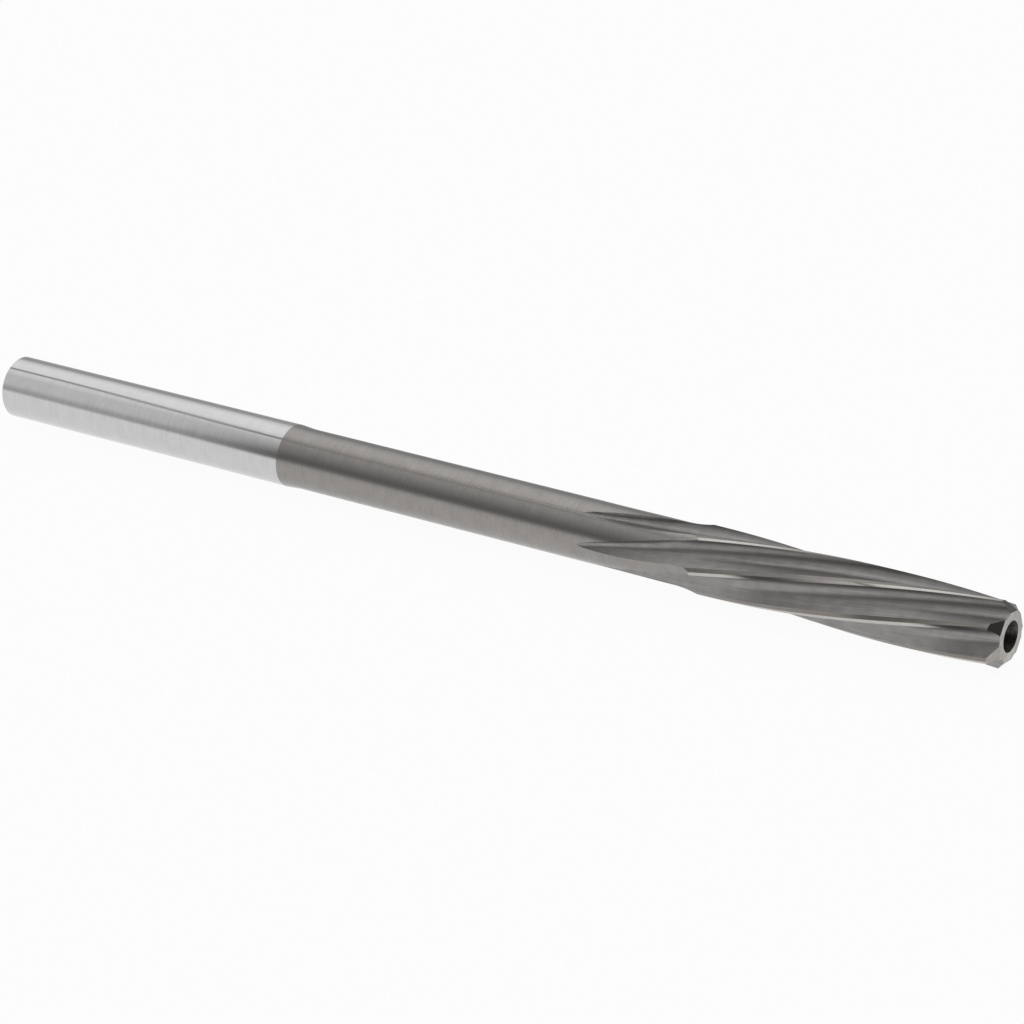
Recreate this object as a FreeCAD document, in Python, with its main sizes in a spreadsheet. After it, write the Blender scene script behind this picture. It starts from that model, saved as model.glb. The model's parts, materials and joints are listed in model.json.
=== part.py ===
import FreeCAD, Part
import Sketcher
import math
import os

# Straight-shank machine reamer, ground from one bar of high-speed steel.
# The tool's axis is X: the shank's end face is at X = 0 and the front face, where it cuts,
# is at the far end. Seen from the shank the tool turns clockwise to cut, and its flutes
# wind the other way, which pushes the chips out ahead of it.

SIZES = {
    # the turned and ground blank
    "overall_length": 81.0,
    "shank_diameter": 4.5,
    "shank_length": 25.05,
    "shank_chamfer": 0.2,
    "neck_diameter": 4.318,
    "neck_taper_length": 1.15,
    "cutting_diameter": 4.75,
    "cutting_length": 22.3,
    "shoulder_radius": 8.0,
    # the flutes and the teeth between them
    "flute_count": 6,
    "helix_angle": 10.0,
    "first_tooth_angle": 151.0,
    "core_diameter": 3.24,
    "root_radius": 0.82,
    "margin_width": 0.32,
    "relief_width": 0.24,
    "relief_angle": 22.0,
    "full_depth_length": 23.8,
    "wheel_diameter": 100.0,
    # the lead, the short bevel on each tooth that does the cutting
    "lead_length": 0.68,
    "lead_angle": 45.0,
    "lead_relief_angle": 12.0,
    # the centre holes that hold the tool between points while it is ground
    "centre_mouth_diameter": 2.12,
    "centre_pilot_diameter": 1.0,
    "centre_cone_angle": 60.0,
    "centre_point_angle": 118.0,
    "centre_depth": 2.2,
    # how far the cutters reach past the steel that they remove
    "facet_overrun": 0.12,
    "cutter_overrun": 0.4,
    "runout_overrun": 0.12,
}

HELIX_SECTIONS = 7  # stations of the loft along the flute at full depth
RUNOUT_SECTIONS = 5  # stations where the wheel lifts out


class Sizes:
    """Each size as a number, for a sketch's first guess before its constraints take hold."""

    def __init__(self, table):
        self.__dict__.update(table)


size = Sizes(SIZES)
doc = FreeCAD.newDocument("machine_reamer")

sheet = doc.addObject("Spreadsheet::Sheet", "Sizes")
for row, (name, value) in enumerate(SIZES.items(), start=1):
    sheet.set(f"A{row}", name)
    sheet.set(f"B{row}", str(value))
    sheet.setAlias(f"B{row}", name)
doc.recompute()

body = doc.addObject("PartDesign::Body", "Body")
body.Label = "machine_reamer"
cutters = doc.addObject("PartDesign::Body", "Cutters")
cutters.Label = "flute_cutters"
cutters.AllowCompound = True


def origin_feature(owner, role):
    """A plane or an axis of a body's own origin."""
    return next(item for item in owner.Origin.OriginFeatures if item.Role == role)


def new_sketch(owner, name, plane):
    """An empty sketch that lies flat on one of the origin planes of the body that owns it."""
    sketch = owner.newObject("Sketcher::SketchObject", name)
    sketch.AttachmentSupport = [(origin_feature(owner, plane), "")]
    sketch.MapMode = "FlatFace"
    return sketch


def bind(sketch, constraint, expression):
    """Adds a constraint and ties its value to the spreadsheet."""
    index = sketch.addConstraint(constraint)
    sketch.setExpression(f"Constraints[{index}]", expression)


def join_loop(sketch, first, count):
    """Joins the end of each of `count` edges to the start of the next, back to the first."""
    for step in range(count):
        here, there = first + step, first + (step + 1) % count
        sketch.addConstraint(Sketcher.Constraint("Coincident", here, 2, there, 1))


def add_polygon(sketch, points):
    """Closed outline of straight lines through the points, with level and upright ones kept so."""
    count = len(points)
    first = sketch.GeometryCount
    for step, start in enumerate(points):
        end = points[(step + 1) % count]
        sketch.addGeometry(Part.LineSegment(FreeCAD.Vector(*start), FreeCAD.Vector(*end)), False)
        if start[1] == end[1]:
            sketch.addConstraint(Sketcher.Constraint("Horizontal", first + step))
        elif start[0] == end[0]:
            sketch.addConstraint(Sketcher.Constraint("Vertical", first + step))
    join_loop(sketch, first, count)
    return first


def place(sketch, edge, x, y):
    """Ties the start point of an edge to expressions for its two coordinates."""
    if x == "0":
        sketch.addConstraint(Sketcher.Constraint("PointOnObject", edge, 1, -2))
    else:
        bind(sketch, Sketcher.Constraint("DistanceX", -1, 1, edge, 1, 1.0), x)
    if y == "0":
        sketch.addConstraint(Sketcher.Constraint("PointOnObject", edge, 1, -1))
    else:
        bind(sketch, Sketcher.Constraint("DistanceY", -1, 1, edge, 1, 1.0), y)


# Blank: the whole outer form, turned about X


def make_blank():
    """Shank, taper down to the neck, neck, curved shoulder up to the cutting diameter."""
    shank_r = size.shank_diameter / 2
    neck_r = size.neck_diameter / 2
    cut_r = size.cutting_diameter / 2
    taper_end = size.shank_length + size.neck_taper_length
    shoulder_end = size.overall_length - size.cutting_length
    rise = cut_r - neck_r
    run = math.sqrt(2 * size.shoulder_radius * rise - rise**2)
    sweep = math.asin(run / size.shoulder_radius)

    sketch = new_sketch(body, "BlankProfile", "XZ_Plane")
    points = [
        (0, 0),
        (0, shank_r - size.shank_chamfer),
        (size.shank_chamfer, shank_r),
        (size.shank_length, shank_r),
        (taper_end, neck_r),
        (shoulder_end - run, neck_r),
        (shoulder_end, cut_r),
        (size.overall_length, cut_r),
        (size.overall_length, 0),
    ]
    neck, shoulder = 4, 5
    for step, start in enumerate(points):
        end = points[(step + 1) % len(points)]
        if step == shoulder:
            ring = Part.Circle(
                FreeCAD.Vector(start[0], neck_r + size.shoulder_radius, 0),
                FreeCAD.Vector(0, 0, 1),
                size.shoulder_radius,
            )
            bottom = -math.pi / 2
            sketch.addGeometry(Part.ArcOfCircle(ring, bottom, bottom + sweep), False)
        else:
            sketch.addGeometry(Part.LineSegment(FreeCAD.Vector(*start), FreeCAD.Vector(*end)), False)
    for step in range(len(points)):
        here, there = step, (step + 1) % len(points)
        if here == neck:
            sketch.addConstraint(Sketcher.Constraint("Tangent", here, 2, there, 1))
        else:
            sketch.addConstraint(Sketcher.Constraint("Coincident", here, 2, there, 1))
    for level in (2, neck, 6):
        sketch.addConstraint(Sketcher.Constraint("Horizontal", level))

    place(sketch, 0, "0", "0")
    place(sketch, 1, "0", "Sizes.shank_diameter / 2 - Sizes.shank_chamfer")
    place(sketch, 2, "Sizes.shank_chamfer", "Sizes.shank_diameter / 2")
    bind(sketch, Sketcher.Constraint("DistanceX", -1, 1, 3, 1, 1.0), "Sizes.shank_length")
    place(sketch, 4, "Sizes.shank_length + Sizes.neck_taper_length", "Sizes.neck_diameter / 2")
    bind(sketch, Sketcher.Constraint("Radius", shoulder, size.shoulder_radius), "Sizes.shoulder_radius")
    place(sketch, 6, "Sizes.overall_length - Sizes.cutting_length", "Sizes.cutting_diameter / 2")
    bind(sketch, Sketcher.Constraint("DistanceX", -1, 1, 7, 1, 1.0), "Sizes.overall_length")
    place(sketch, 8, "Sizes.overall_length", "0")

    blank = body.newObject("PartDesign::Revolution", "Blank")
    blank.Profile = sketch
    blank.ReferenceAxis = (origin_feature(body, "X_Axis"), [""])
    blank.Angle = 360
    return blank


# Flutes: the grinding wheel's section lofted along its path, repeated round the axis, cut away

CUT_RADIUS = "Sizes.cutting_diameter / 2"
FLUTE_LEAD = "(pi * Sizes.cutting_diameter / tan(Sizes.helix_angle))"
MARGIN_SPAN = "(360 * Sizes.margin_width / (pi * Sizes.cutting_diameter))"
# the wheel's middle seen from the axis: its distance, and its angle ahead of the cutting edge
WHEEL_REACH = "(Sizes.core_diameter / 2 + Sizes.root_radius)"
WHEEL_AHEAD = f"asin(Sizes.root_radius / {WHEEL_REACH})"
RUNOUT_RISE = "((Sizes.neck_diameter - Sizes.core_diameter) / 2 + Sizes.runout_overrun)"
RUNOUT_LENGTH = f"sqrt(Sizes.wheel_diameter * {RUNOUT_RISE} - {RUNOUT_RISE} ^ 2)"


def flute_corners():
    """The section's corners about a cutting edge that lies on the sketch's own X axis."""
    cut_r = size.cutting_diameter / 2
    reach = size.core_diameter / 2 + size.root_radius
    centre = FreeCAD.Vector(math.sqrt(reach**2 - size.root_radius**2), size.root_radius, 0)

    span = 2 * math.pi / size.flute_count - size.margin_width / cut_r
    margin_back = FreeCAD.Vector(math.cos(span), math.sin(span), 0) * cut_r
    slope = span + math.pi / 2 - math.radians(size.relief_angle)
    facet = FreeCAD.Vector(math.cos(slope), math.sin(slope), 0)
    heel = margin_back - facet * size.relief_width

    facet_end = margin_back + facet * size.facet_overrun

    # the back of the tooth ahead runs from its heel to touch the root's arc
    to_heel = heel - centre
    opening = math.acos(size.root_radius / to_heel.Length)
    touch = math.atan2(to_heel.y, to_heel.x) % (2 * math.pi) + opening
    return centre, touch, heel, margin_back, facet_end


def make_flute_section(name, station, lift):
    """Wheel section at a station along X, lifted off the core where the flute runs out."""
    centre, touch, heel, margin_back, facet_end = flute_corners()
    sketch = new_sketch(cutters, name, "YZ_Plane")
    root = size.root_radius
    middle = FreeCAD.Vector(0, 0, 0)
    upright = FreeCAD.Vector(0, 0, 1)
    back_foot = centre + FreeCAD.Vector(math.cos(touch), math.sin(touch), 0) * root
    outer = size.cutting_diameter / 2 + size.cutter_overrun
    facet_turn = math.atan2(facet_end.y, facet_end.x)
    rim_back = FreeCAD.Vector(math.cos(facet_turn), math.sin(facet_turn), 0) * outer

    # drawn from the outer rim in along the rake, round the root, up the back and the facet
    sketch.addGeometry(
        [
            Part.LineSegment(FreeCAD.Vector(outer, 0, 0), FreeCAD.Vector(centre.x, 0, 0)),
            Part.ArcOfCircle(Part.Circle(centre, upright, root), touch, 1.5 * math.pi),
            Part.LineSegment(back_foot, heel),
            Part.LineSegment(heel, facet_end),
            Part.LineSegment(facet_end, rim_back),
            Part.ArcOfCircle(Part.Circle(middle, upright, outer), 0, facet_turn),
        ],
        False,
    )
    sketch.addGeometry(Part.LineSegment(middle, margin_back), True)
    sketch.addGeometry(Part.LineSegment(middle, facet_end), True)
    rake, arc, back, facet, side, rim, spoke, side_spoke = range(8)

    sketch.addConstraint(
        [
            Sketcher.Constraint("PointOnObject", rake, 1, -1),
            Sketcher.Constraint("PointOnObject", rake, 2, -1),
            Sketcher.Constraint("Tangent", rake, 2, arc, 2),
            Sketcher.Constraint("Tangent", arc, 1, back, 1),
            Sketcher.Constraint("Coincident", back, 2, facet, 1),
            Sketcher.Constraint("Coincident", facet, 2, side, 1),
            Sketcher.Constraint("Coincident", side, 2, rim, 2),
            Sketcher.Constraint("Coincident", rim, 1, rake, 1),
            Sketcher.Constraint("Coincident", rim, 3, -1, 1),
            Sketcher.Constraint("Coincident", spoke, 1, -1, 1),
            Sketcher.Constraint("PointOnObject", spoke, 2, facet),
            Sketcher.Constraint("Coincident", side_spoke, 1, -1, 1),
            Sketcher.Constraint("Coincident", side_spoke, 2, facet, 2),
            Sketcher.Constraint("Parallel", side_spoke, side),
        ]
    )
    bind(sketch, Sketcher.Constraint("Radius", rim, outer), f"{CUT_RADIUS} + Sizes.cutter_overrun")
    bind(sketch, Sketcher.Constraint("Radius", arc, root), "Sizes.root_radius")
    bind(sketch, Sketcher.Constraint("Distance", -1, 1, arc, 3, centre.Length), WHEEL_REACH)
    bind(sketch, Sketcher.Constraint("Distance", spoke, margin_back.Length), CUT_RADIUS)
    span = math.atan2(margin_back.y, margin_back.x)
    bind(
        sketch,
        Sketcher.Constraint("Angle", -1, 1, spoke, 1, span),
        f"(360 / Sizes.flute_count - {MARGIN_SPAN}) * 1 deg",
    )
    bind(
        sketch,
        Sketcher.Constraint("Distance", facet, 1, spoke, 2, size.relief_width),
        "Sizes.relief_width",
    )
    bind(
        sketch,
        Sketcher.Constraint("Distance", spoke, 2, facet, 2, size.facet_overrun),
        "Sizes.facet_overrun",
    )
    slope = math.pi / 2 - math.radians(size.relief_angle)
    bind(
        sketch,
        Sketcher.Constraint("Angle", spoke, 1, facet, 1, slope),
        "(90 - Sizes.relief_angle) * 1 deg",
    )

    turn = f"(Sizes.first_tooth_angle + 360 * (Sizes.overall_length - ({station})) / {FLUTE_LEAD})"
    outward = f"({turn} + {WHEEL_AHEAD} / 1 deg)"
    sketch.setExpression("AttachmentOffset.Base.x", f"({lift}) * cos({outward})")
    sketch.setExpression("AttachmentOffset.Base.y", f"({lift}) * sin({outward})")
    sketch.setExpression("AttachmentOffset.Base.z", station)
    sketch.setExpression("AttachmentOffset.Rotation.Angle", f"{turn} * 1 deg")
    return sketch


def make_flute_cutter():
    """What the wheel sweeps in one flute: full depth from the front face, then its arc out."""
    sections = []
    start = "(Sizes.overall_length + Sizes.cutter_overrun)"
    full_depth = "(Sizes.overall_length - Sizes.full_depth_length)"
    for step in range(HELIX_SECTIONS):
        share = step / (HELIX_SECTIONS - 1)
        station = f"{start} - {share} * ({start} - {full_depth})"
        sections.append(make_flute_section(f"FluteSection{step:02d}", station, "0"))
    for step in range(1, RUNOUT_SECTIONS + 1):
        back = f"({step / RUNOUT_SECTIONS} * {RUNOUT_LENGTH})"
        lift = f"Sizes.wheel_diameter / 2 - sqrt((Sizes.wheel_diameter / 2) ^ 2 - {back} ^ 2)"
        sections.append(make_flute_section(f"RunoutSection{step:02d}", f"{full_depth} - {back}", lift))
    doc.recompute()
    cutter = cutters.newObject("PartDesign::AdditiveLoft", "FluteCutter")
    cutter.Profile = sections[0]
    cutter.Sections = sections[1:]
    cutter.Ruled = False
    return cutter


def cut_flutes():
    """Takes every cutter out of the blank in one go."""
    flutes = body.newObject("PartDesign::Boolean", "Flutes")
    flutes.setObjects([cutters])
    flutes.Type = "Cut"
    return flutes


def make_lead():
    """Flat bevel on the front corner of one tooth, turned a little back to clear the work."""
    sketch = new_sketch(body, "LeadBevel", "XZ_Plane")
    cut_r = size.cutting_diameter / 2
    low = cut_r - size.lead_length * math.tan(math.radians(size.lead_angle))
    first = add_polygon(
        sketch,
        [
            (size.overall_length - size.lead_length, cut_r),
            (size.overall_length + size.cutter_overrun, low),
            (size.overall_length + size.cutter_overrun, cut_r + size.cutter_overrun),
            (size.overall_length - size.lead_length, cut_r + size.cutter_overrun),
        ],
    )
    corner = f"{CUT_RADIUS} * cos(Sizes.lead_relief_angle)"
    place(sketch, first, "Sizes.overall_length - Sizes.lead_length", corner)
    bind(
        sketch,
        Sketcher.Constraint("DistanceX", -1, 1, first + 1, 1, 1.0),
        "Sizes.overall_length + Sizes.cutter_overrun",
    )
    fall = "(Sizes.lead_length + Sizes.cutter_overrun) * tan(Sizes.lead_angle)"
    bind(sketch, Sketcher.Constraint("DistanceY", -1, 1, first + 1, 1, 1.0), f"{corner} - {fall}")
    bind(
        sketch,
        Sketcher.Constraint("DistanceY", -1, 1, first + 2, 1, 1.0),
        f"{CUT_RADIUS} + Sizes.cutter_overrun",
    )
    # XZ_Plane's sketch Y is Z, which lies a quarter turn past the Y axis that teeth are counted from
    corner_turn = f"360 * Sizes.lead_length / {FLUTE_LEAD}"
    turn = f"Sizes.first_tooth_angle + {corner_turn} - Sizes.lead_relief_angle - 90"
    sketch.setExpression("AttachmentOffset.Rotation.Angle", f"({turn}) * 1 deg")
    sketch.AttachmentOffset = FreeCAD.Placement(
        FreeCAD.Vector(0, 0, 0), FreeCAD.Rotation(FreeCAD.Vector(1, 0, 0), 1.0)
    )
    bevel = body.newObject("PartDesign::Pocket", "Lead")
    bevel.Profile = sketch
    bevel.Midplane = True
    bevel.Type = "Length"
    bevel.setExpression("Length", "Sizes.cutting_diameter")
    return bevel


def repeat_round_axis(owner, name, feature):
    """Repeats what is made at one tooth for every tooth."""
    pattern = owner.newObject("PartDesign::PolarPattern", name)
    pattern.Originals = [feature]
    pattern.Axis = (origin_feature(owner, "X_Axis"), [""])
    pattern.Angle = 360
    pattern.setExpression("Occurrences", "Sizes.flute_count")
    owner.Tip = pattern
    return pattern


# Centre holes: a cone that the point of the grinding machine seats in, over a drilled pilot


def make_centre_hole(name, face, inward):
    """Drills one end; `face` is where it starts and `inward` is +1 or -1 along X."""
    mouth_r = size.centre_mouth_diameter / 2
    pilot_r = size.centre_pilot_diameter / 2
    cone = (mouth_r - pilot_r) / math.tan(math.radians(size.centre_cone_angle / 2))
    point = pilot_r / math.tan(math.radians(size.centre_point_angle / 2))
    start = 0.0 if face == "0" else size.overall_length
    sign = "+" if inward > 0 else "-"

    sketch = new_sketch(body, name + "Profile", "XZ_Plane")
    first = add_polygon(
        sketch,
        [
            (start, 0),
            (start, mouth_r),
            (start + inward * cone, pilot_r),
            (start + inward * (size.centre_depth - point), pilot_r),
            (start + inward * size.centre_depth, 0),
        ],
    )
    cone_length = (
        "(Sizes.centre_mouth_diameter - Sizes.centre_pilot_diameter) / 2 / tan(Sizes.centre_cone_angle / 2)"
    )
    point_length = "Sizes.centre_pilot_diameter / 2 / tan(Sizes.centre_point_angle / 2)"
    place(sketch, first, face, "0")
    bind(sketch, Sketcher.Constraint("DistanceY", -1, 1, first + 1, 1, 1.0), "Sizes.centre_mouth_diameter / 2")
    place(sketch, first + 2, f"{face} {sign} {cone_length}", "Sizes.centre_pilot_diameter / 2")
    bind(
        sketch,
        Sketcher.Constraint("DistanceX", -1, 1, first + 3, 1, 1.0),
        f"{face} {sign} (Sizes.centre_depth - {point_length})",
    )
    bind(
        sketch,
        Sketcher.Constraint("DistanceX", -1, 1, first + 4, 1, 1.0),
        f"{face} {sign} Sizes.centre_depth",
    )

    hole = body.newObject("PartDesign::Groove", name)
    hole.Profile = sketch
    hole.ReferenceAxis = (origin_feature(body, "X_Axis"), [""])
    hole.Angle = 360
    return hole


make_blank()
doc.recompute()
blank_volume = body.Shape.Volume
flute_cutter = make_flute_cutter()
doc.recompute()
repeat_round_axis(cutters, "FluteCutters", flute_cutter)
doc.recompute()
cut_flutes()
doc.recompute()
fluted_volume = body.Shape.Volume
lead = make_lead()
doc.recompute()
repeat_round_axis(body, "Leads", lead)
doc.recompute()
beveled_volume = body.Shape.Volume
make_centre_hole("ShankCentre", "0", 1)
make_centre_hole("FrontCentre", "Sizes.overall_length", -1)
doc.recompute()

for item in doc.Objects:
    if "Invalid" in item.State or "Error" in item.State:
        raise SystemExit(f"{item.Label} failed: {item.State}")
if body.Shape.isNull() or not body.Shape.isValid() or len(body.Shape.Solids) != 1:
    raise SystemExit(f"{body.Label} is not one valid solid")
if not body.Shape.Volume < beveled_volume < fluted_volume < blank_volume:
    raise SystemExit("a cut removed nothing")

os.makedirs("parts", exist_ok=True)
body.Shape.exportStep(f"parts/{body.Label}.step")
print(f"{body.Label}: {body.Shape.Volume:.2f} mm3, {len(body.Shape.Faces)} faces")
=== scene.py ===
import json
import math

import bmesh
import bpy
from mathutils import Matrix, Vector


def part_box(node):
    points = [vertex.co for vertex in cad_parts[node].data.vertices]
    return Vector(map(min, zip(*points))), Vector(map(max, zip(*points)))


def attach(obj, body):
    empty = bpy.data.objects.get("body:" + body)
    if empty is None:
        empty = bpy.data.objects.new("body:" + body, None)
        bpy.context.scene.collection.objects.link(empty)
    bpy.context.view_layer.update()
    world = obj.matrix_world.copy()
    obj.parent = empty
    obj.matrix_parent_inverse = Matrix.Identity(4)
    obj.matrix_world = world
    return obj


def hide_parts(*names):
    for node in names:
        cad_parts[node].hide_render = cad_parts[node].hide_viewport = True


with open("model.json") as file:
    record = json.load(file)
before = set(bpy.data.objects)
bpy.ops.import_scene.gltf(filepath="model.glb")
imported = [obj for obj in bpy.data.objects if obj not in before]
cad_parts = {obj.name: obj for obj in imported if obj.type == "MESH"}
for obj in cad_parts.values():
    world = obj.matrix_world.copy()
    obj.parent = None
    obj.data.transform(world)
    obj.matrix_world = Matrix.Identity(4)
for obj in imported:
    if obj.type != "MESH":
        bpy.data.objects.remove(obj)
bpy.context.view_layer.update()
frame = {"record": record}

# The bar: one round blank of high-speed steel, turned and then ground between centres, with a
# polished shank, a thinner dull neck and a curved shoulder up to the cutting diameter. The
# centre holes that it turned on are left in both ends.

MM = 0.001
shank_mount = frame["record"]["mounts"][0]
overall_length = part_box("machine_reamer")[1].x
shank_radius = shank_mount["dims"]["r_mm"] * MM
shank_chamfer = shank_mount["pos_m"][0]
shank_end = shank_chamfer + shank_mount["dims"]["length_mm"] * MM
neck_radius = 2.159 * MM
neck_start = shank_end + 1.15 * MM
cutting_radius = 2.375 * MM
cutting_start = overall_length - 22.3 * MM
shoulder_radius = 8.0 * MM
hole_mouth_radius = 1.06 * MM
hole_pilot_radius = 0.5 * MM
hole_depth = 2.2 * MM
hole_cone_angle = math.radians(30)  # of its side to its axis, as is the drill point's
hole_point_angle = math.radians(59)
round_steps = 360  # flats round the bar, too narrow to show on polished steel
shoulder_steps = 16
end_face_depth = 0.01 * MM  # what lies nearer an end than this is its flat face
merge_distance = 0.0005 * MM

cone_depth = (hole_mouth_radius - hole_pilot_radius) / math.tan(hole_cone_angle)
point_depth = hole_pilot_radius / math.tan(hole_point_angle)
shoulder_turn = math.acos(1 - (cutting_radius - neck_radius) / shoulder_radius)
shoulder_start = cutting_start - shoulder_radius * math.sin(shoulder_turn)
profile = [
    (hole_depth, 0),
    (hole_depth - point_depth, hole_pilot_radius),
    (cone_depth, hole_pilot_radius),
    (0, hole_mouth_radius),
    (0, shank_radius - shank_chamfer),
    (shank_chamfer, shank_radius),
    (shank_end, shank_radius),
    (neck_start, neck_radius),
]
for step in range(shoulder_steps + 1):
    turn = shoulder_turn * step / shoulder_steps
    along = shoulder_start + shoulder_radius * math.sin(turn)
    profile.append((along, neck_radius + shoulder_radius * (1 - math.cos(turn))))
profile += [
    (overall_length, cutting_radius),
    (overall_length, hole_mouth_radius),
    (overall_length - cone_depth, hole_pilot_radius),
    (overall_length - hole_depth + point_depth, hole_pilot_radius),
    (overall_length - hole_depth, 0),
]

# the finishes that the steel is left in, in the order of the material slots
POLISHED, NECK, FLUTE, RELIEF, FACE, LEAD, HOLE, MARGIN = range(8)


def new_object(name, mesh_edit):
    """Turns a finished bmesh into an object of the scene."""
    mesh = bpy.data.meshes.new(name)
    mesh_edit.to_mesh(mesh)
    mesh_edit.free()
    made = bpy.data.objects.new(name, mesh)
    bpy.context.scene.collection.objects.link(made)
    return made


def bar_finish(face):
    """The finish of one face of the bar, from where it lies."""
    centre = face.calc_center_median()
    radius = math.hypot(centre.y, centre.z)
    from_end = min(centre.x, overall_length - centre.x)
    if from_end < end_face_depth:
        return FACE
    if from_end < hole_depth and radius < hole_mouth_radius:
        return HOLE
    if centre.x < shank_end:
        return POLISHED
    return NECK if centre.x < cutting_start else MARGIN


bar_edit = bmesh.new()
corners = [bar_edit.verts.new((x, radius, 0)) for x, radius in profile]
outline = [bar_edit.edges.new(pair) for pair in zip(corners, corners[1:])]
bmesh.ops.spin(
    bar_edit,
    geom=corners + outline,
    cent=(0, 0, 0),
    axis=(1, 0, 0),
    angle=math.tau,
    steps=round_steps,
    use_merge=True,
)
bmesh.ops.remove_doubles(bar_edit, verts=bar_edit.verts, dist=merge_distance)
bmesh.ops.recalc_face_normals(bar_edit, faces=bar_edit.faces)
for face in bar_edit.faces:
    face.material_index = bar_finish(face)
bar = new_object("reamer", bar_edit)

# The flutes: a grinding wheel follows a slow left-hand helix from the front face and lifts out
# along the arc of its own rim, where the groove narrows to the wheel's own edge. Its profile
# leaves a radial rake, a round root, the back of the tooth ahead and, with a second pass, the
# relief facet beside that tooth's margin.

flute_count = 6
helix_angle = math.radians(10)
helix_lead = math.tau * cutting_radius / math.tan(helix_angle)
first_tooth = math.radians(151)
core_radius = 1.62 * MM
root_radius = 0.82 * MM
narrow_radius = 0.3 * MM  # the root at the tip of the run-out
margin_turn = 0.22 * MM / cutting_radius
relief_width = 0.29 * MM
relief_angle = math.radians(22)
facet_overrun = 0.12 * MM
rim_overrun = 0.4 * MM
full_depth = overall_length - 23.8 * MM
wheel_radius = 50 * MM
runout_clearance = 0.12 * MM  # how far off the neck the wheel is let go
runout_rise = neck_radius - core_radius + runout_clearance
runout_length = math.sqrt(2 * wheel_radius * runout_rise - runout_rise**2)
station_step = 0.11 * MM
root_steps = 22
rim_steps = 6
rounding = 1.001  # slack for corners that lie on the root


def polar(radius, turn):
    """A point of the section from its distance to the axis and its angle."""
    return Vector((radius * math.cos(turn), radius * math.sin(turn)))


margin_back_turn = math.tau / flute_count - margin_turn
margin_back = polar(cutting_radius, margin_back_turn)
facet_line = polar(1, margin_back_turn + math.pi / 2 - relief_angle)
heel = margin_back - facet_line * relief_width
facet_end = margin_back + facet_line * facet_overrun
wheel_ahead = math.asin(root_radius / (core_radius + root_radius))
root_centre = polar(core_radius + root_radius, wheel_ahead)
to_heel = heel - root_centre
back_foot = math.atan2(to_heel.y, to_heel.x) % math.tau + math.acos(root_radius / to_heel.length)
rake_foot = 1.5 * math.pi
rim = cutting_radius + rim_overrun
facet_end_turn = math.atan2(facet_end.y, facet_end.x)


def narrowed_root(radius):
    """Middle of a smaller root that still touches the core and the same back of the tooth."""
    away = polar(1, back_foot)
    inward = heel.dot(away) - radius
    reach = core_radius + radius
    return away * inward + Vector((away.y, -away.x)) * math.sqrt(reach**2 - inward**2)


section = [polar(rim, 0)]
for step in range(root_steps + 1):
    turn = rake_foot + (back_foot - rake_foot) * step / root_steps
    section.append(root_centre + polar(root_radius, turn))
section += [heel, facet_end]
for step in range(rim_steps):
    section.append(polar(rim, facet_end_turn * (1 - step / rim_steps)))

cutter_edit = bmesh.new()
cutter_start = overall_length + rim_overrun
cutter_length = cutter_start - full_depth + runout_length
stations = round(cutter_length / station_step)
start_turn = first_tooth - math.tau * rim_overrun / helix_lead
start_face = Matrix.Rotation(-start_turn, 2)
ring = [cutter_edit.verts.new((cutter_start, *(point @ start_face))) for point in section]
bmesh.ops.spin(
    cutter_edit,
    geom=[cutter_edit.faces.new(ring)],
    cent=(0, 0, 0),
    axis=(1, 0, 0),
    dvec=(-cutter_length / stations, 0, 0),
    angle=math.tau * cutter_length / helix_lead,
    steps=stations,
    use_duplicate=False,
)
for face in cutter_edit.faces:
    centre = face.calc_center_median()
    turn = first_tooth + math.tau * (overall_length - centre.x) / helix_lead
    level = Vector((centre.y, centre.z)) @ Matrix.Rotation(turn, 2)
    on_relief = (level - (heel + facet_end) / 2).length < relief_width
    face.material_index = RELIEF if on_relief else FLUTE
# past full depth the wheel lifts, the root narrows, and the rake's outer corner goes with it
for corner in cutter_edit.verts:
    back = full_depth - corner.co.x
    if back <= 0:
        continue
    turn = first_tooth + math.tau * (overall_length - corner.co.x) / helix_lead
    lift = wheel_radius - math.sqrt(wheel_radius**2 - back**2)
    radius = root_radius + (narrow_radius - root_radius) * (1 - (1 - back / runout_length) ** 2)
    middle = narrowed_root(radius)
    level = Vector((corner.co.y, corner.co.z)) @ Matrix.Rotation(turn, 2)
    from_middle = level - root_centre
    if from_middle.length < root_radius * rounding:
        level = middle + from_middle * (radius / root_radius)
    elif level.y < rim * math.sin(facet_end_turn / rim_steps / 2):
        rake_level = middle.y - radius
        level = Vector((math.sqrt(rim**2 - rake_level**2), rake_level))
    level += polar(lift, wheel_ahead)
    corner.co = (corner.co.x, *(level @ Matrix.Rotation(-turn, 2)))


def repeat_round_axis(mesh_edit, count):
    """Copies all that the bmesh holds to every tooth."""
    one = list(mesh_edit.verts) + list(mesh_edit.edges) + list(mesh_edit.faces)
    for copy in range(1, count):
        made = bmesh.ops.duplicate(mesh_edit, geom=one)["geom"]
        bmesh.ops.rotate(
            mesh_edit,
            verts=[item for item in made if isinstance(item, bmesh.types.BMVert)],
            cent=(0, 0, 0),
            matrix=Matrix.Rotation(math.tau * copy / count, 3, "X"),
        )
    bmesh.ops.recalc_face_normals(mesh_edit, faces=mesh_edit.faces)


def cut_away(target, cutter):
    """Takes one solid out of another for good, and removes the cutter."""
    cut = target.modifiers.new(cutter.name, "BOOLEAN")
    cut.operation = "DIFFERENCE"
    cut.solver = "EXACT"
    cut.object = cutter
    bpy.context.view_layer.update()
    depsgraph = bpy.context.evaluated_depsgraph_get()
    finished = bpy.data.meshes.new_from_object(target.evaluated_get(depsgraph))
    target.modifiers.clear()
    target.data = finished
    bpy.data.objects.remove(cutter)


repeat_round_axis(cutter_edit, flute_count)
cut_away(bar, new_object("wheels", cutter_edit))

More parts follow.
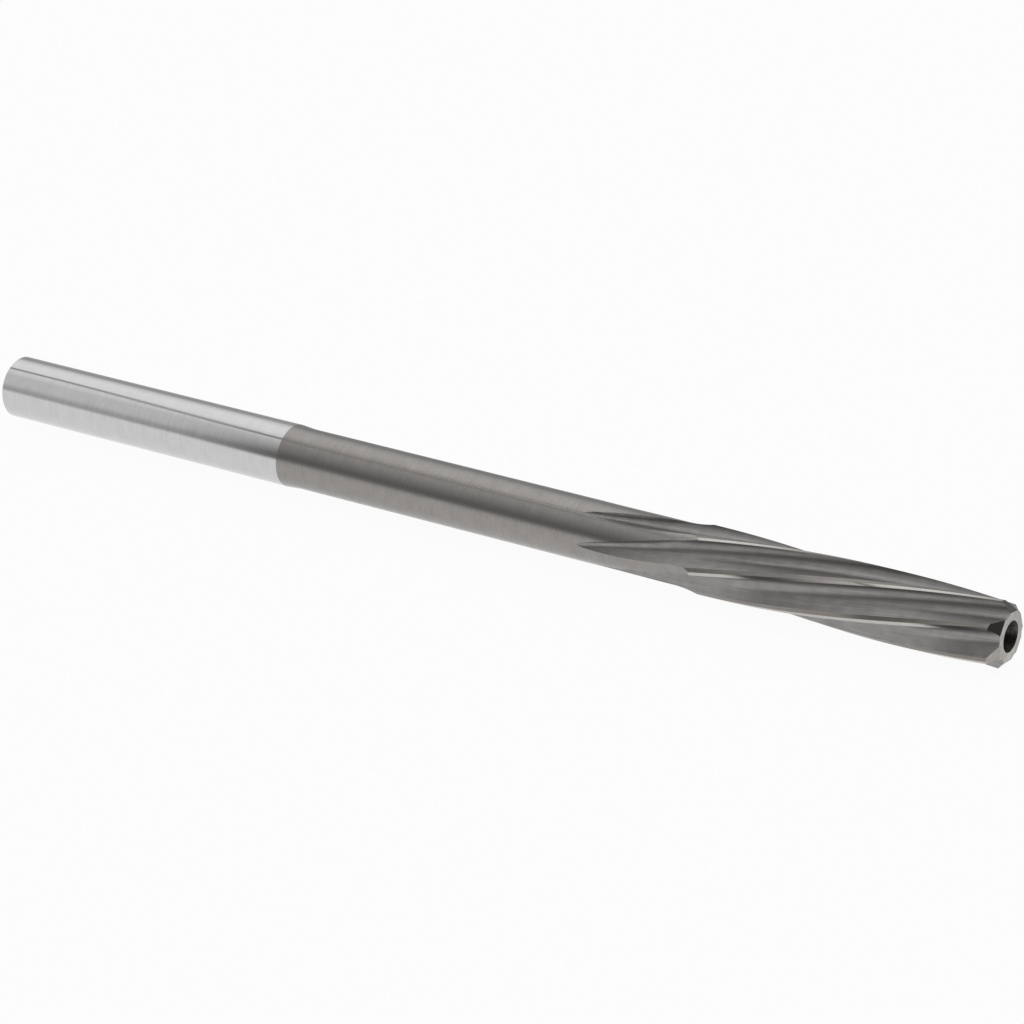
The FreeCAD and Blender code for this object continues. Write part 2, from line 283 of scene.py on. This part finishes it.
# The lead: a short flat bevel ground on the front corner of every tooth, the only edges that
# cut. Each is turned a little back from its own edge to clear the work.

lead_length = 0.68 * MM
lead_relief = math.radians(12)
bevel_half_width = 0.8 * MM
bevel_overrun = 0.1 * MM
crease_angle = math.radians(14)

corner_radius = cutting_radius * math.cos(lead_relief)
bevel_edit = bmesh.new()
bevel_profile = [
    (overall_length - lead_length, corner_radius),
    (overall_length + bevel_overrun, corner_radius - lead_length - bevel_overrun),
    (overall_length + bevel_overrun, rim),
    (overall_length - lead_length, rim),
]
side = bevel_edit.faces.new(
    [bevel_edit.verts.new((x, radius, -bevel_half_width)) for x, radius in bevel_profile]
)
pushed = bmesh.ops.extrude_face_region(bevel_edit, geom=[side], use_keep_orig=True)["geom"]
bmesh.ops.translate(
    bevel_edit,
    verts=[item for item in pushed if isinstance(item, bmesh.types.BMVert)],
    vec=(0, 0, 2 * bevel_half_width),
)
bevel_turn = first_tooth + math.tau * lead_length / helix_lead - lead_relief
bmesh.ops.rotate(
    bevel_edit,
    verts=bevel_edit.verts,
    cent=(0, 0, 0),
    matrix=Matrix.Rotation(bevel_turn, 3, "X"),
)
for face in bevel_edit.faces:
    face.material_index = LEAD
repeat_round_axis(bevel_edit, flute_count)
cut_away(bar, new_object("bevels", bevel_edit))
bar.data.set_sharp_from_angle(angle=crease_angle)
for face in bar.data.polygons:
    face.use_smooth = True

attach(bar, "root")
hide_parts("machine_reamer")

# The finishes: the same bare steel throughout, told apart by how each surface was last worked,
# save the centre holes, whose near-black colour is painted shade.
# Every one carries the fine lines of its own grinding, round the bar or along the flutes.


def linear(colour):
    """An sRGB hex colour as linear red, green, blue and alpha."""
    result = []
    for start in (1, 3, 5):
        part = int(colour[start : start + 2], 16) / 255
        result.append(part / 12.92 if part <= 0.04045 else ((part + 0.055) / 1.055) ** 2.4)
    return result + [1]


def add_node(tree, kind, inputs=None, **settings):
    """Adds a node with its settings, and its inputs as values or as the outputs they come from."""
    node = tree.nodes.new("ShaderNode" + kind)
    for name, value in settings.items():
        setattr(node, name, value)
    for name, value in (inputs or {}).items():
        if isinstance(value, bpy.types.NodeSocket):
            tree.links.new(value, node.inputs[name])
        else:
            node.inputs[name].default_value = value
    return node


# besides its lines the steel is a little uneven in patches of this size
CLOUD_SIZE, CLOUD_SHARE = 0.8 * MM, 0.35
NOISE_LOW, NOISE_HIGH = 0.32, 0.68  # the levels that noise mostly lies between


def worked_steel(name, colours, roughness, lines, twisted=False):
    """Steel with grinding lines, from its dark and pale colour and its smooth and rough level.

    `lines` holds the distance from line to line, how far one runs and how deep it is. They run
    round the bar, or along the flutes where `twisted`.
    """
    dark, pale = colours
    smooth, rough = roughness
    spacing, length, depth = lines
    steel = bpy.data.materials.new(name)
    steel.use_nodes = True
    tree = steel.node_tree
    place = add_node(tree, "TexCoord").outputs["Object"]
    scale = (1 / spacing, 1 / length, 1 / length)
    if twisted:
        axes = add_node(tree, "SeparateXYZ", {0: place})
        twist = {0: axes.outputs["X"], 1: math.tau / helix_lead}
        turn = add_node(tree, "Math", twist, operation="MULTIPLY")
        untwist = {"Vector": place, "Axis": (1, 0, 0), "Angle": turn.outputs[0]}
        place = add_node(tree, "VectorRotate", untwist).outputs[0]
        scale = (1 / length, 1 / spacing, 1 / spacing)
    spread = add_node(tree, "Mapping", {"Vector": place, "Scale": scale})
    streak_look = {"Vector": spread.outputs[0], "Scale": 1, "Detail": 3, "Roughness": 0.6}
    streaks = add_node(tree, "TexNoise", streak_look).outputs["Fac"]
    cloud_look = {"Vector": place, "Scale": 1 / CLOUD_SIZE, "Detail": 2}
    clouds = add_node(tree, "TexNoise", cloud_look).outputs["Fac"]
    both = {"Factor": CLOUD_SHARE, "A": streaks, "B": clouds}
    uneven = add_node(tree, "Mix", both, data_type="FLOAT").outputs[0]
    spread_out = {"Value": uneven, "From Min": NOISE_LOW, "From Max": NOISE_HIGH}
    level = add_node(tree, "MapRange", spread_out).outputs[0]
    shades = {"Fac": level, "Color1": linear(dark), "Color2": linear(pale)}
    colour = add_node(tree, "MixRGB", shades)
    gloss = add_node(tree, "MapRange", {"Value": level, "To Min": rough, "To Max": smooth})
    relief = add_node(tree, "Bump", {"Height": level, "Distance": depth, "Strength": 1})
    shader = tree.nodes["Principled BSDF"]
    shader.inputs["Metallic"].default_value = 1
    tree.links.new(colour.outputs[0], shader.inputs["Base Color"])
    tree.links.new(gloss.outputs[0], shader.inputs["Roughness"])
    tree.links.new(relief.outputs[0], shader.inputs["Normal"])
    return steel


finishes = {
    # a shank polished bright enough to mirror the room in long clean bands
    POLISHED: worked_steel(
        "polished_steel",
        colours=("#bdbdbd", "#c8c8c8"),
        roughness=(0.08, 0.14),
        lines=(0.05 * MM, 3 * MM, 0.0002 * MM),
    ),
    # a neck only rough ground round: dull, darker and finely ringed, so reflections blur out
    NECK: worked_steel(
        "round_ground_steel",
        colours=("#8a8785", "#989592"),
        roughness=(0.22, 0.3),
        lines=(0.06 * MM, 1.2 * MM, 0.0005 * MM),
    ),
    # flutes with the wheel's lines along the helix, which smear the light across them
    FLUTE: worked_steel(
        "flute_ground_steel",
        colours=("#81807e", "#9a9896"),
        roughness=(0.36, 0.46),
        lines=(0.06 * MM, 4 * MM, 0.0006 * MM),
        twisted=True,
    ),
    # relief facets left by a coarser pass: brownish grey and matt
    RELIEF: worked_steel(
        "relief_ground_steel",
        colours=("#7a7571", "#8f8a86"),
        roughness=(0.24, 0.34),
        lines=(0.05 * MM, 4 * MM, 0.0006 * MM),
        twisted=True,
    ),
    # flat ends, faced with a wheel: even, pale and slightly matt
    FACE: worked_steel(
        "faced_steel",
        colours=("#aeaba6", "#c0bdb8"),
        roughness=(0.35, 0.5),
        lines=(0.08 * MM, 0.5 * MM, 0.0008 * MM),
    ),
    # lead bevels that turn away from the lamps, so their smooth steel looks nearly black
    LEAD: worked_steel(
        "lead_ground_steel",
        colours=("#8d8782", "#a8a29d"),
        roughness=(0.18, 0.3),
        lines=(0.05 * MM, 0.6 * MM, 0.0008 * MM),
    ),
    # centre holes: painted shade, a near-black steel colour standing for the shade inside each
    # hole, with paler torn streaks as the drill left them
    HOLE: worked_steel(
        "hole_steel_painted_shade",
        colours=("#24211f", "#625e5a"),
        roughness=(0.35, 0.6),
        lines=(0.06 * MM, 0.3 * MM, 0.003 * MM),
    ),
    # margins, lapped bright on the round: a thin bright line along each tooth
    MARGIN: worked_steel(
        "lapped_steel",
        colours=("#aeaba7", "#bebbb7"),
        roughness=(0.1, 0.18),
        lines=(0.05 * MM, 3 * MM, 0.0002 * MM),
    ),
}
for slot in sorted(finishes):
    bar.data.materials.append(finishes[slot])

# The floor: a sheet of plain white paper under the tool, which keeps its soft shadow. It is
# left out of what the steel mirrors: the room below holds the white there instead.

paper_reach = 3.0  # metres from its middle to its edges
paper_gap = 0.01 * MM
paper_glow = 0.95  # how much of the paper the camera sees as plain white

floor_edit = bmesh.new()
bmesh.ops.create_grid(floor_edit, x_segments=1, y_segments=1, size=paper_reach)
paper_place = (0, 0, -cutting_radius - paper_gap)
bmesh.ops.translate(floor_edit, verts=floor_edit.verts, vec=paper_place)
floor = new_object("floor", floor_edit)
floor.visible_glossy = False
paper = bpy.data.materials.new("white_paper")
paper.use_nodes = True
tree = paper.node_tree
diffuse = tree.nodes["Principled BSDF"]
diffuse.inputs["Base Color"].default_value = linear("#f2f2f2")
diffuse.inputs["Roughness"].default_value = 0.9
diffuse.inputs["Specular IOR Level"].default_value = 0
seen = add_node(tree, "LightPath").outputs["Is Camera Ray"]
glow = add_node(tree, "Emission", {"Color": (1, 1, 1, 1), "Strength": 1})
share = add_node(tree, "Math", {0: seen, 1: paper_glow}, operation="MULTIPLY").outputs[0]
mixed = add_node(tree, "MixShader", {0: share, 1: diffuse.outputs[0], 2: glow.outputs[0]})
tree.links.new(mixed.outputs[0], tree.nodes["Material Output"].inputs["Surface"])
floor.data.materials.append(paper)

# The room: soft light from lamps, dark gaps and white card, laid out by the angle round the
# tool's axis from the camera's side (0) over the top (90) to the back (180). What the shank's
# end mirrors has a paler gap than what the rest of the tool mirrors, and one thin dark line.

# angles in degrees, each with the brightness there
SHANK_END_CARDS = {
    -180: 0.45, -165: 0.6, -154: 1.02, -5: 1.02, 4: 0.54, 13: 0.56, 21: 0.72, 29: 0.82,
    61: 0.82, 70: 0.97, 95: 1.16, 117: 1.18, 125: 1.14, 133: 1.04, 141: 0.88, 147: 0.7,
    153: 0.47, 165: 0.42, 180: 0.45,
}
OTHER_CARDS = {
    -180: 0.45, -165: 0.6, -154: 1.02, -8: 1.02, 2: 0.12, 13: 0.07, 21: 0.1, 29: 0.2,
    45: 0.48, 61: 0.72, 77: 0.92, 93: 1.16, 117: 1.18, 125: 1.12, 133: 1.04, 141: 0.9,
    149: 0.7, 157: 0.5, 165: 0.42, 180: 0.45,
}
SHANK_END_WAY, OTHER_WAY = -0.543, -0.467  # how far along -X each of them is mirrored
LINE_START, LINE_END = (-0.585, 88), (-0.505, 74)  # where the line runs: way along X, degrees
LINE_HALF_WIDTH = math.radians(6)
LINE_LEVEL = 0.2
# beyond the tool's front end the room is dark, above the level of the table
DARK_ROOM_WAY = (0.15, 0.45)
DARK_ROOM_HEIGHT = (-0.35, 0.05)
DARK_ROOM_LEVEL = 0.12


def card_ramp(tree, share, cards):
    """Colour ramp over a whole turn, from the cards' angles in degrees and their brightness."""
    ramp = add_node(tree, "ValToRGB", {0: share})
    stops = ramp.color_ramp.elements
    stops.remove(stops[0])
    for index, (degrees, level) in enumerate(cards.items()):
        stop = stops.new((degrees + 180) / 360) if index else stops[0]
        stop.position = (degrees + 180) / 360
        stop.color = (level, level, level, 1)
    return ramp.outputs["Color"]


world = bpy.data.worlds.new("studio")
bpy.context.scene.world = world
world.use_nodes = True
tree = world.node_tree
axes = add_node(tree, "SeparateXYZ", {0: add_node(tree, "TexCoord").outputs["Generated"]})
toward = add_node(tree, "Math", {0: axes.outputs["Y"], 1: -1.0}, operation="MULTIPLY")
across = {0: axes.outputs["Z"], 1: toward.outputs[0]}
angle = add_node(tree, "Math", across, operation="ARCTAN2").outputs[0]
whole_turn = {"Value": angle, "From Min": -math.pi, "From Max": math.pi}
share = add_node(tree, "MapRange", whole_turn).outputs[0]
way = {"Value": axes.outputs["X"], "From Min": SHANK_END_WAY, "From Max": OTHER_WAY}
along = add_node(tree, "MapRange", way, interpolation_type="SMOOTHSTEP").outputs[0]
both = {
    "Fac": along,
    "Color1": card_ramp(tree, share, SHANK_END_CARDS),
    "Color2": card_ramp(tree, share, OTHER_CARDS),
}
cards = add_node(tree, "MixRGB", both)
line_run = {"Value": axes.outputs["X"], "From Min": LINE_START[0], "From Max": LINE_END[0]}
line_turn = {"To Min": math.radians(LINE_START[1]), "To Max": math.radians(LINE_END[1])}
line_place = add_node(tree, "MapRange", line_run | line_turn).outputs[0]
off_line = add_node(tree, "Math", {0: angle, 1: line_place}, operation="SUBTRACT").outputs[0]
off_line = add_node(tree, "Math", {0: off_line}, operation="ABSOLUTE").outputs[0]
fade = {"Value": off_line, "From Max": LINE_HALF_WIDTH, "To Min": LINE_LEVEL, "To Max": 1.0}
line = add_node(tree, "MapRange", fade, interpolation_type="SMOOTHSTEP").outputs[0]
low, high = DARK_ROOM_WAY
front = {"Value": axes.outputs["X"], "From Min": low, "From Max": high}
front = add_node(tree, "MapRange", front).outputs[0]
low, high = DARK_ROOM_HEIGHT
above = {"Value": axes.outputs["Z"], "From Min": low, "From Max": high}
above = add_node(tree, "MapRange", above).outputs[0]
dark_room = add_node(tree, "Math", {0: front, 1: above}, operation="MULTIPLY").outputs[0]
dim = {"Value": dark_room, "To Min": 1.0, "To Max": DARK_ROOM_LEVEL}
room = add_node(tree, "MapRange", dim).outputs[0]
strength = add_node(tree, "Math", {0: line, 1: room}, operation="MULTIPLY")
background = tree.nodes["Background"]
tree.links.new(cards.outputs[0], background.inputs["Color"])
tree.links.new(strength.outputs[0], background.inputs["Strength"])
seen = add_node(tree, "LightPath").outputs["Is Camera Ray"]
plain = add_node(tree, "Background", {"Color": (1, 1, 1, 1), "Strength": 1})
mixed = add_node(tree, "MixShader", {0: seen, 1: background.outputs[0], 2: plain.outputs[0]})
tree.links.new(mixed.outputs[0], tree.nodes["World Output"].inputs["Surface"])

# The camera: a long lens from in front of the cutting end, to its right and a little above.

camera_place = Vector((173.121, -200.991, 101.827)) * MM
camera_turn = math.radians(32.8474)  # off square to the tool, toward its cutting end
camera_rise = math.radians(23.0781)  # above the level of the table

camera = bpy.data.objects.new("camera", bpy.data.cameras.new("camera"))
bpy.context.scene.collection.objects.link(camera)
bpy.context.scene.camera = camera
camera.data.lens = 133.75
camera.data.sensor_width = 36
camera.data.clip_start = 0.01
turned = Matrix.Rotation(camera_turn, 4, "Z")
tilted = Matrix.Rotation(math.pi / 2 - camera_rise, 4, "X")
camera.matrix_world = Matrix.Translation(camera_place) @ turned @ tilted
bpy.context.scene.view_settings.view_transform = "Standard"
